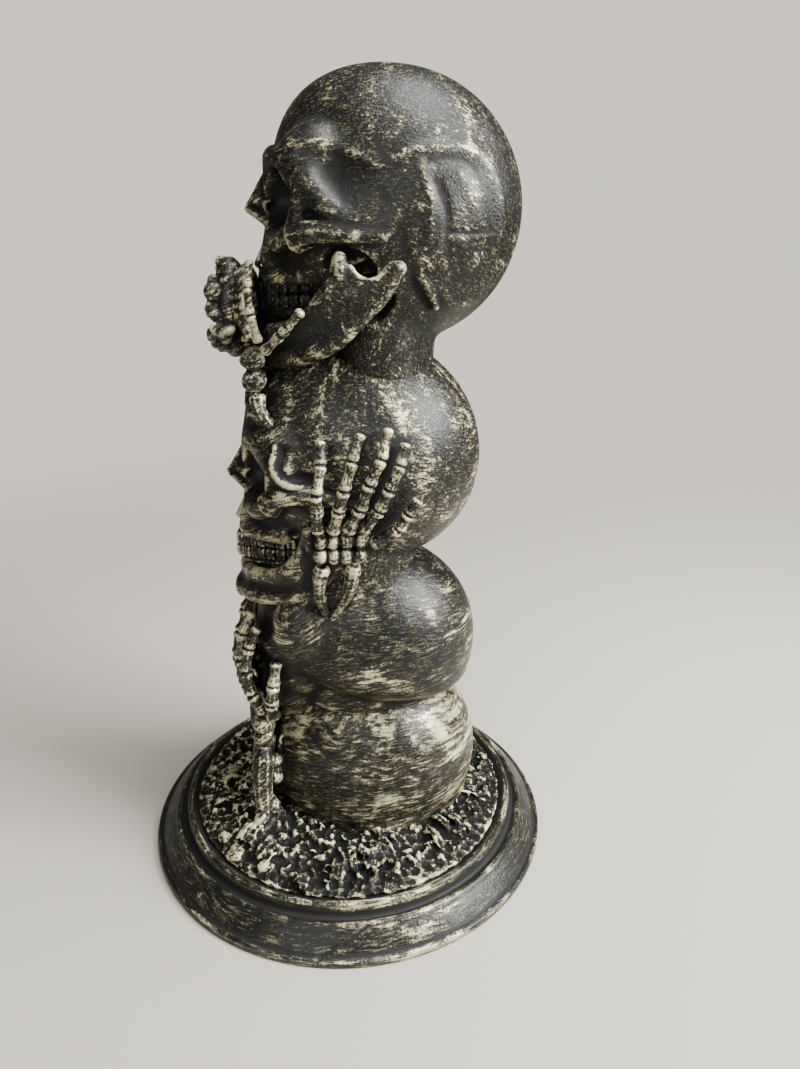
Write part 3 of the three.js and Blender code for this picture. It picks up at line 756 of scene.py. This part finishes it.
def makeHand(name, hand):
    lines = []
    thick = hand.get("thick", 1)
    for finger in fingers:
        joints = np.array(hand[finger], float)
        joints += np.linspace(0.3, 1, len(joints))[:, None] * hand.get("lift", (0, 0, 0))
        for number, (start, end) in enumerate(zip(joints, joints[1:])):
            lines.append(bone(start, end, boneSizes[number] * thick * hand.get("slim", {}).get(finger, 1)))
    for line in hand["forearm"]:
        radii = np.array((4.3, 2.9 * thick, 2.1 * thick)) * hand.get("arm", 1)
        shaft = throughPoints([[*p, r] for p, r in zip(line, radii)], 6)
        shaft[:2, 3] = (3.4, 4.3)
        lines.append(shaft)
    piece = strands(lines)
    (cx, cy, cz), half = hand["wrist"]
    seeds = random.Random(name)
    lumps = [piece] + ([egg(*hand["backing"])] if "backing" in hand else [])
    for row in (-1, 1):
        for column in (-0.75, -0.26, 0.26, 0.75):
            place = [cx, cy, cz + row * half[2] * 0.47 + seeds.uniform(-0.6, 0.6)]
            place[hand["across"]] += column * half[hand["across"]] + seeds.uniform(-0.5, 0.5)
            size = [half[0] * 0.85, half[1] * 0.85, half[2] * 0.5]
            size[hand["across"]] = half[hand["across"]] * 0.29
            size = [v * seeds.uniform(0.9, 1.1) for v in size]
            lumps.append(egg(place, size, (0, seeds.uniform(-15, 15), 0), 12))
    if "lumps" in hand:
        # ragged flesh left along the bones
        path, count, size = hand["lumps"]
        line = throughPoints([[*p, 0] for p in path], 12)[:, :3]
        for number in range(count):
            place = line[seeds.randrange(len(line))] + [seeds.uniform(-0.4, 0.4) * size for _ in range(3)]
            lumps.append(egg(place, [size * seeds.uniform(0.45, 0.95) for _ in range(3)],
                             [seeds.uniform(-90, 90) for _ in range(3)], 12))
    piece = joined(lumps, name + "Hand")
    fuse(piece, 0.55)
    soften(piece, 2)
    return piece


# the ring's outline from the outside of the underside round to the inside: radius and height
plinth = {
    "profile": [(98.5, 0), (113.0, 0), (113.5, 0.6), (113.5, 2.9), (113.0, 3.7), (112.0, 4.1), (110.8, 4.3),
                (109.9, 5.0), (108.6, 6.6), (106.4, 9.2), (104.2, 11.6), (102.6, 13.2), (101.7, 14.4),
                (101.0, 15.1),
                (100.2, 15.35), (99.3, 15.2), (98.4, 14.5), (97.3, 14.3), (96.3, 14.9), (95.7, 16.4),
                (95.3, 18.6),
                (94.9, 20.2), (94.3, 21.0), (93.4, 21.35), (92.3, 21.3), (91.2, 20.8), (90.3, 19.9),
                (89.4, 18.5),
                (40, 18.5), (40, 8.5), (93, 8.5), (98.5, 4)],
    "steps": 540,
    "mouldLine": [(109, -18, 3.4), (98, 9, 15.2)],
}


def makePlinth():
    pick()
    # closer rows on the slope of the foot, where the mould line runs
    rows = []
    for (r, z), (nextR, nextZ) in zip(plinth["profile"], plinth["profile"][1:] + plinth["profile"][:1]):
        onSlope = min(r, nextR) >= 101.5 and max(r, nextR) <= 112
        cuts = max(1, round(math.hypot(nextR - r, nextZ - z) / 0.8)) if onSlope else 1
        rows += [(r + (nextR - r) * t / cuts, 0, z + (nextZ - z) * t / cuts) for t in range(cuts)]
    bpy.ops.mesh.primitive_circle_add(vertices=len(rows), radius=0.1)
    piece = bpy.context.object
    piece.name = "plinthRing"
    movePoints(piece, np.array(rows, float))
    bpy.ops.object.mode_set(mode="EDIT")
    bpy.ops.mesh.select_all(action="SELECT")
    bpy.ops.mesh.spin(steps=plinth["steps"], angle=2 * math.pi, center=(0, 0, 0), axis=(0, 0, 1))
    bpy.ops.mesh.select_all(action="SELECT")
    bpy.ops.mesh.remove_doubles(threshold=0.00001)
    bpy.ops.mesh.normals_make_consistent(inside=False)
    bpy.ops.object.mode_set(mode="OBJECT")
    # the line left by the mould, slanting down over the foot of the ring
    points = pointsOf(piece)
    (x0, y0, z0), (x1, y1, z1) = plinth["mouldLine"]
    start, end = math.atan2(y0, x0), math.atan2(y1, x1)
    angle, height = np.arctan2(points[:, 1], points[:, 0]), points[:, 2]
    wanted = start + (end - start) * (height - z0) / (z1 - z0)
    gap = (angle - wanted) * np.hypot(points[:, 0], points[:, 1])
    reach = np.hypot(points[:, 0], points[:, 1])
    cut = 0.7 * np.exp(-(gap / 1.3) ** 2) * (height > 3) * (height < 14.8) * (reach > 98)
    movePoints(piece, points - normalsOf(piece) * cut[:, None])
    return piece


bed = {
    "radius": 88.8, "high": 21.6, "bones": 640, "stones": 300, "ribs": 22,
    "stoneSizes": (1.2, 1.6, 2.2, 2.8, 3.6),
    "boneShape": ((0, 0.7), (0.1, 1.15), (0.3, 0.6), (0.7, 0.6), (0.9, 1.15), (1, 0.7)),
    "ribShape": ((-7, 1.5, 0.8), (-3, 3.6, 1.1), (1, 3.9, 1.0), (5, 2.4, 1.1), (8, 0.2, 0.8)),
}


def scatterStone(seeds, place, size):
    pick()
    bpy.ops.mesh.primitive_ico_sphere_add(subdivisions=1, radius=size * mm, location=[v * mm for v in place],
                                          rotation=[seeds.uniform(0, 3) for _ in range(3)],
                                          scale=[seeds.uniform(0.6, 1.3) for _ in range(3)])
    return bpy.context.object


def bedHeight(x, y):
    # the heap is highest round the buried skull and the forearms
    reach = math.hypot(x, y)
    heap = 4.2 * math.exp(-((reach - 57) / 13) ** 2) * (0.6 + 0.4 * math.sin(3.1 * math.atan2(y, x) + 1.3))
    front = 7.5 * math.exp(-((abs(x) - 38) / 20) ** 2 - ((y + 48) / 16) ** 2)
    return bed["high"] + heap + front + 0.8 * math.sin(x * 0.21) * math.cos(y * 0.17)


def bedSpot(seeds, inner, outer):
    angle = seeds.uniform(0, 2 * math.pi)
    reach = math.sqrt(seeds.uniform(inner ** 2, outer ** 2))
    x, y = reach * math.cos(angle), reach * math.sin(angle)
    return np.array([x, y, bedHeight(x, y)])


def scatterBone(seeds):
    # a short bone anywhere on the heap, or none where it would stick out past the ring
    middle = bedSpot(seeds, 36, bed["radius"] - 5) + (0, 0, seeds.uniform(-0.6, 2.2))
    size, length = seeds.uniform(0.8, 1.7), seeds.uniform(3, 10)
    heading, tip = seeds.uniform(0, 2 * math.pi), seeds.uniform(-0.7, 0.7)
    flat = math.cos(tip)
    step = np.array([math.cos(heading) * flat, math.sin(heading) * flat, math.sin(tip)]) * length / 2
    if max(math.hypot(*(middle + side * step)[:2]) for side in (1, -1)) > bed["radius"] - 2:
        return []
    return [np.array([[*(middle + step * (2 * t - 1)), r * size] for t, r in bed["boneShape"]])]


def scatterRibs(seeds):
    # a short row of slender bones that lie out from the buried skull
    x, y, z = bedSpot(seeds, 54, 74)
    angle = math.atan2(y, x) + seeds.uniform(-0.5, 0.5)
    ribs = []
    for rib in range(seeds.randint(2, 4)):
        px, py = x - math.sin(angle) * rib * 2.9, y + math.cos(angle) * rib * 2.9
        if math.hypot(px, py) <= bed["radius"] - 12:
            level = bedHeight(px, py)
            ribs.append(np.array([[px + math.cos(angle) * d, py + math.sin(angle) * d, level + lift, r]
                                  for d, lift, r in bed["ribShape"]]))
    return ribs


def makeBed():
    pick()
    bpy.ops.mesh.primitive_grid_add(x_subdivisions=90, y_subdivisions=90, size=2 * bed["radius"] * mm)
    ground = bpy.context.object
    points = pointsOf(ground)
    square = np.abs(points[:, :2]).max(1)
    reach = np.maximum(np.hypot(points[:, 0], points[:, 1]), 1e-6)
    points[:, :2] *= (square / reach)[:, None]
    for point in points:
        edge = max(0, math.hypot(point[0], point[1]) - bed["radius"] + 4) / 4
        point[2] = bedHeight(point[0], point[1]) * (1 - edge) + (bed["high"] - 1.4) * edge
    movePoints(ground, points)
    finishWith(ground, "SOLIDIFY", thickness=2.6 * mm, offset=-1)
    seeds = random.Random(7)
    lines, stones = [], []
    for number in range(bed["bones"]):
        lines += scatterBone(seeds)
    for number in range(bed["ribs"]):
        lines += scatterRibs(seeds)
    for number in range(bed["stones"]):
        place = bedSpot(seeds, 38, bed["radius"] - 3.5) + (0, 0, seeds.uniform(-0.8, 1.6))
        stones.append(scatterStone(seeds, place, seeds.choice(bed["stoneSizes"])))
    piece = joined([ground, strands(lines, 1)] + stones, "boneBed")
    fuse(piece, 0.96)
    craggy = bpy.data.textures.new("craggy", "VORONOI")
    craggy.noise_scale = 5 * mm
    craggy.distance_metric = "DISTANCE"
    finishWith(piece, "DISPLACE", texture=craggy, texture_coords="GLOBAL", strength=2.1 * mm, mid_level=0.6)
    soften(piece, 1)
    return piece


# the paint on each piece: where its strokes wind round and how they are turned, how much there is and how
# fine
looks = {
    "speak skull": {"centre": skulls["speak"]["middle"], "turn": (14, 24, 0), "cover": -0.26, "fineness": 700,
                    "speckle": 1.0, "ridge": 1.5},
    "hear skull": {"centre": skulls["hear"]["middle"], "cover": -0.14, "fineness": 700, "speckle": 1.0,
                   "ridge": 1.5},
    "see skull": {"centre": skulls["see"]["middle"], "turn": (-10, 0, 0), "cover": -0.14, "strokeLength": 4.5,
                  "fineness": 760, "speckle": 0.6, "ridge": 1.2},
    "sunk skull": {"centre": sunk["middle"], "turn": (-8, 0, 0), "cover": -0.06, "strokeLength": 4.0,
                   "fineness": 700},
    "hand bone": {"cover": -0.2, "speckle": 1.4, "ridge": 2.2, "hollow": 0.42},
    "tooth": {"cover": -0.36, "speckle": 1.2, "ridge": 2.8, "hollow": 0.47},
    "shaded tooth": {"cover": -0.5, "speckle": 1.2, "ridge": 1.4, "hollow": 0.45},
    "plinth": {"cover": -0.3, "strokeLength": 6, "fineness": 1100, "speckle": 0.8, "ridge": 0.45},
    "bone bed": {"cover": -0.3, "speckle": 1.6, "ridge": 1.1, "hollow": 0.46, "shine": 0.12, "dull": 0.45},
}
finishes = {name: antiqued(name + " paint", **look) for name, look in looks.items()}
print("mixed", len(finishes), "paints")

for name in skulls:
    cranium = makeCranium(name)
    for path, width, push in reliefs.get(name, []):
        brush(cranium, skulls[name]["centre"], path, width, push)
    markRaised(cranium)
    show(cranium, finishes[name + " skull"], "bone", name + "_cranium")
    jaw = makeJaw(name)
    markRaised(jaw)
    show(jaw, finishes[name + " skull"], "bone", name + "_jaw")
    teeth = makeTeeth(name)
    markRaised(teeth)
    show(teeth, finishes["tooth" if name == "hear" else "shaded tooth"], "teeth", name + "_teeth")

dome = makeVault(sunk["vault"], sunk["middle"], sunk["tilt"], sunk["square"])
dome.name = "sunkDome"
fuse(dome, 1.3)
pick(dome)
bpy.ops.object.mode_set(mode="EDIT")
bpy.ops.mesh.select_all(action="SELECT")
bpy.ops.mesh.bisect(plane_co=(0, 0, sunk["floor"] * mm), plane_no=(0, 0, 1), clear_inner=True, use_fill=True)
bpy.ops.object.mode_set(mode="OBJECT")
markRaised(dome)
show(dome, finishes["sunk skull"], "bone", "sunk_cranium")

hands["hearRight"] = mirroredHand(hands["hearLeft"])
hands["seeRight"] = mirroredHand(hands["seeLeft"])
for name, hand in hands.items():
    piece = makeHand(name, hand)
    markRaised(piece)
    prefix = name.replace("Left", "_left_").replace("Right", "_right_")
    show(piece, finishes["hand bone"], "hands", *[prefix + part for part in (*fingers, "wrist", "forearm")])

# painted shade on each skull's cranium, jaw and teeth close under its own hands
for name in skulls:
    covering = [bpy.data.objects[name + side + "Hand"] for side in ("Left", "Right")]
    for part in ("Cranium", "Jaw", "Teeth"):
        shadeNear(bpy.data.objects[name + part], covering)
print("shaded the skulls under their hands")

ring = makePlinth()
markRaised(ring)
show(ring, finishes["plinth"], "plinth", "plinth")
rubble = makeBed()
markRaised(rubble)
# the heap in front of the skulls took more paint
writeRaised(rubble, readRaised(rubble) + 0.16 * np.clip((-30 - pointsOf(rubble)[:, 1]) / 25, 0, 1))
show(rubble, finishes["bone bed"], "bone_bed", "bone_bed")

felt = bpy.data.materials.new("felt")
felt.use_nodes = True
tree = felt.node_tree
weave = noise(tree, addNode(tree, "ShaderNodeTexCoord").outputs["Object"], 1400, 4, 0.7)
fuzz = addNode(tree, "ShaderNodeValToRGB", {0: weave})
fuzz.color_ramp.elements[0].color = (0.004, 0.004, 0.004, 1)
fuzz.color_ramp.elements[1].color = (0.03, 0.03, 0.032, 1)
tree.links.new(fuzz.outputs[0], tree.nodes["Principled BSDF"].inputs["Base Color"])
tree.nodes["Principled BSDF"].inputs["Roughness"].default_value = 0.95
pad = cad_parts["felt_pad"]
pad.data.materials.clear()
pad.data.materials.append(felt)
print("laid the felt pad")

# a pale floor that fades into the air round it, and soft lamps: place, size and power
studio = {
    "floor": (0.36, 0.335, 0.29, 1), "fade": (0.25, 0.95), "air": (0.86, 0.80, 0.735, 1),
    "airLight": 0.18, "airSeen": 1.05, "aim": (0, 0.01, 0.2),
    "lamps": {"key": ((0.45, 1.1, 0.85), 0.7, 82), "fill": ((1.3, -0.5, 0.8), 0.8, 10),
              "top": ((0.1, 0.3, 1.35), 0.6, 28)},
}
pick()
bpy.ops.mesh.primitive_plane_add(size=8)
floor = bpy.context.object
floor.name = "floor"
ground = bpy.data.materials.new("pale floor")
ground.use_nodes = True
tree = ground.node_tree
skin = tree.nodes["Principled BSDF"]
skin.inputs["Base Color"].default_value = studio["floor"]
skin.inputs["Roughness"].default_value = 0.75
place = addNode(tree, "ShaderNodeTexCoord").outputs["Object"]
fromMiddle = addNode(tree, "ShaderNodeVectorMath", {0: place}, operation="LENGTH").outputs["Value"]
fade = addNode(tree, "ShaderNodeMapRange", {
    "Value": fromMiddle, "From Min": studio["fade"][0], "From Max": studio["fade"][1], "To Min": 1.0,
    "To Max": 0.0}, interpolation_type="SMOOTHSTEP")
tree.links.new(fade.outputs[0], skin.inputs["Alpha"])
floor.data.materials.append(ground)

world = bpy.data.worlds.new("studio")
bpy.context.scene.world = world
world.use_nodes = True
tree = world.node_tree
tree.nodes["Background"].inputs["Color"].default_value = studio["air"]
seenBy = addNode(tree, "ShaderNodeLightPath").outputs["Is Camera Ray"]
strength = sums(tree, "ADD", studio["airLight"], sums(tree, "MULTIPLY", seenBy, studio["airSeen"]))
tree.links.new(strength, tree.nodes["Background"].inputs["Strength"])

for name, (place, size, power) in studio["lamps"].items():
    lamp = bpy.data.lights.new(name, "AREA")
    lamp.size = size
    lamp.energy = power
    lampObject = bpy.data.objects.new(name, lamp)
    bpy.context.collection.objects.link(lampObject)
    lampObject.location = place
    lampObject.rotation_euler = (Vector(studio["aim"]) - Vector(place)).to_track_quat("-Z", "Y").to_euler()
print("set up the studio")

view = {"place": (0.393, 0, 0.343), "down": 22.46, "turn": 4.25, "roll": 0.42, "lens": 27.04}
camera = bpy.data.cameras.new("camera")
camera.lens = view["lens"]
camera.clip_start = 0.01
cameraObject = bpy.data.objects.new("camera", camera)
bpy.context.collection.objects.link(cameraObject)
down, turn = math.radians(view["down"]), math.radians(view["turn"])
ahead = Vector((-math.cos(turn) * math.cos(down), math.sin(turn) * math.cos(down), -math.sin(down)))
facing = ahead.to_track_quat("-Z", "Y").to_matrix().to_4x4()
cameraObject.rotation_euler = facing.to_euler()
cameraObject.rotation_euler.rotate_axis("Z", math.radians(view["roll"]))
cameraObject.location = view["place"]
bpy.context.scene.camera = cameraObject
